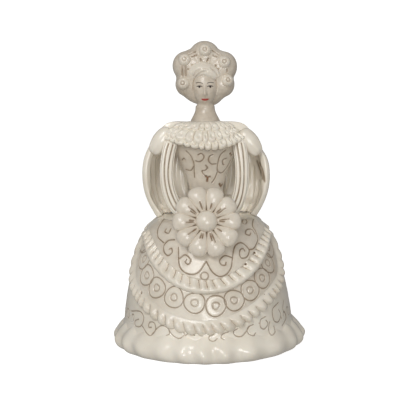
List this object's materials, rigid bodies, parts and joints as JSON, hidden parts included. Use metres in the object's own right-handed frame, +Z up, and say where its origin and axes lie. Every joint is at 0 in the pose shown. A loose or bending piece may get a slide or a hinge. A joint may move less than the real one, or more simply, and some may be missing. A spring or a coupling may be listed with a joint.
{
  "type": "figural table bell",
  "caption": "White-glazed bell shaped as a lady with tiered skirt, cape and a flower held at the waist; a ball clapper swings inside the skirt.",
  "frame": {"origin": "centre of the skirt's foot on the table", "axes": "+Z up along the figure, -Y to the figure's front, +X to the right as seen from the front"},
  "size_m": [0.1262, 0.1262, 0.1983],
  "materials": {
    "white_glaze": "glossy warm white glaze over brown-stained incised lines",
    "bare_clay": "matt unglazed clay",
    "clapper_glaze": "glossy white glaze",
    "wire": "drawn brass wire, lightly tarnished"
  },
  "bodies": {
    "bell": {"skirt_bell": "white_glaze", "staple_boss": "bare_clay", "hanger_staple": "wire", "hem_ruffle": "white_glaze", "front_overskirt": "white_glaze", "back_overskirt": "white_glaze", "front_overskirt_frill": "white_glaze", "back_overskirt_frill": "white_glaze", "front_apron": "white_glaze", "back_apron": "white_glaze", "front_apron_frill": "white_glaze", "back_apron_frill": "white_glaze", "bodice": "white_glaze", "head": "white_glaze", "hair": "white_glaze", "hair_fringe": "white_glaze", "collar_top_row": "white_glaze", "collar_middle_row": "white_glaze", "collar_bottom_row": "white_glaze", "cape": "white_glaze", "left_sleeve": "white_glaze", "right_sleeve": "white_glaze", "left_arm": "white_glaze", "right_arm": "white_glaze", "flower_pad": "white_glaze", "flower_centre": "white_glaze", "rosette_1": "white_glaze", "rosette_2": "white_glaze", "rosette_3": "white_glaze", "rosette_4": "white_glaze", "rosette_5": "white_glaze", "petal_1": "white_glaze", "petal_2": "white_glaze", "petal_3": "white_glaze", "petal_4": "white_glaze", "petal_5": "white_glaze", "petal_6": "white_glaze", "petal_7": "white_glaze", "petal_8": "white_glaze", "petal_9": "white_glaze", "petal_10": "white_glaze"},
    "link": {"clapper_link": "wire"},
    "clapper": {"clapper_rod": "wire", "clapper_bead": "clapper_glaze", "bead_ferrule": "wire"}
  },
  "joints": [
    {"name": "link_swing", "type": "hinge", "parent": "bell", "child": "link", "pos_m": [0, 0, 0.0685], "axis": [1, 0, 0], "range_deg": [-50, 50]},
    {"name": "clapper_sway", "type": "hinge", "parent": "link", "child": "clapper", "pos_m": [0, 0, 0.0602], "axis": [0, 1, 0], "range_deg": [-12, 12]}
  ]
}
